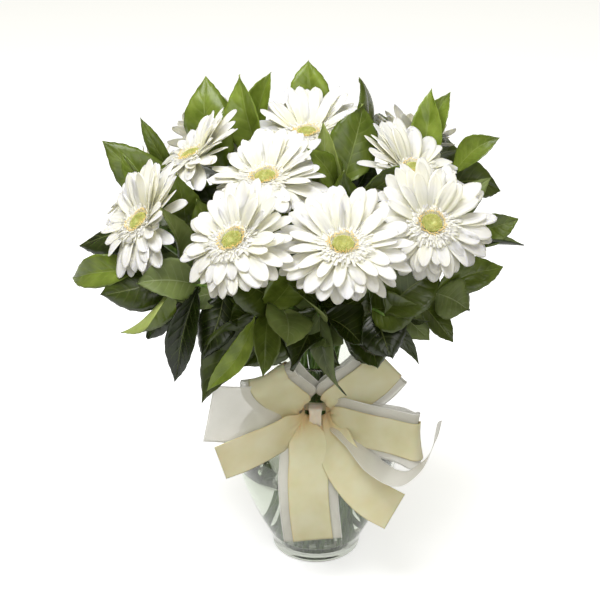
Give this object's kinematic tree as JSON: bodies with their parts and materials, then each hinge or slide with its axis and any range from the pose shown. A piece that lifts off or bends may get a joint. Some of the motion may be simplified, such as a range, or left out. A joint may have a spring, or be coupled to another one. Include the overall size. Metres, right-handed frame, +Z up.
{
  "type": "floral table centerpiece",
  "caption": "Clear waisted glass vase of white gerberas and broad green leaves, with a layered cream and sheer ribbon bow tied at its neck.",
  "frame": {"origin": "centre of the vase's flat underside", "axes": "+Z up, -Y out of the bow's front, +X to the right of someone who faces the bow"},
  "size_m": [0.4253, 0.3643, 0.468],
  "materials": {
    "glass": "clear, slightly green, polished",
    "water": "clear water",
    "petals": "soft matt, creamy white",
    "centre": "fine green-yellow florets with gold stamens",
    "stem": "smooth green stem",
    "leaves": "glossy leaf with paler veins",
    "cream": "satin ribbon",
    "sheer": "see-through organza ribbon"
  },
  "bodies": {
    "root": {"vase": "glass", "water": "water", "ribbon_cream": "cream", "ribbon_sheer": "sheer", "bow_tie": "cream", "neck_band": "cream", "gerbera_01_stem": "stem", "gerbera_01_centre": "centre", "gerbera_01_petals": "petals", "gerbera_02_stem": "stem", "gerbera_02_centre": "centre", "gerbera_02_petals": "petals", "gerbera_03_stem": "stem", "gerbera_03_centre": "centre", "gerbera_03_petals": "petals", "gerbera_04_stem": "stem", "gerbera_04_centre": "centre", "gerbera_04_petals": "petals", "gerbera_05_stem": "stem", "gerbera_05_centre": "centre", "gerbera_05_petals": "petals", "gerbera_06_stem": "stem", "gerbera_06_centre": "centre", "gerbera_06_petals": "petals", "gerbera_07_stem": "stem", "gerbera_07_centre": "centre", "gerbera_07_petals": "petals", "gerbera_08_stem": "stem", "gerbera_08_centre": "centre", "gerbera_08_petals": "petals", "gerbera_09_stem": "stem", "gerbera_09_centre": "centre", "gerbera_09_petals": "petals", "gerbera_10_stem": "stem", "gerbera_10_centre": "centre", "gerbera_10_petals": "petals", "gerbera_11_stem": "stem", "gerbera_11_centre": "centre", "gerbera_11_petals": "petals", "gerbera_12_stem": "stem", "gerbera_12_centre": "centre", "gerbera_12_petals": "petals", "foliage_01": "leaves", "foliage_02": "leaves", "foliage_03": "leaves", "foliage_04": "leaves", "foliage_05": "leaves", "foliage_06": "leaves", "foliage_07": "leaves", "foliage_08": "leaves", "foliage_09": "leaves", "foliage_10": "leaves", "foliage_11": "leaves", "foliage_12": "leaves", "foliage_13": "leaves", "foliage_14": "leaves", "foliage_15": "leaves", "foliage_16": "leaves"}
  },
  "joints": []
}
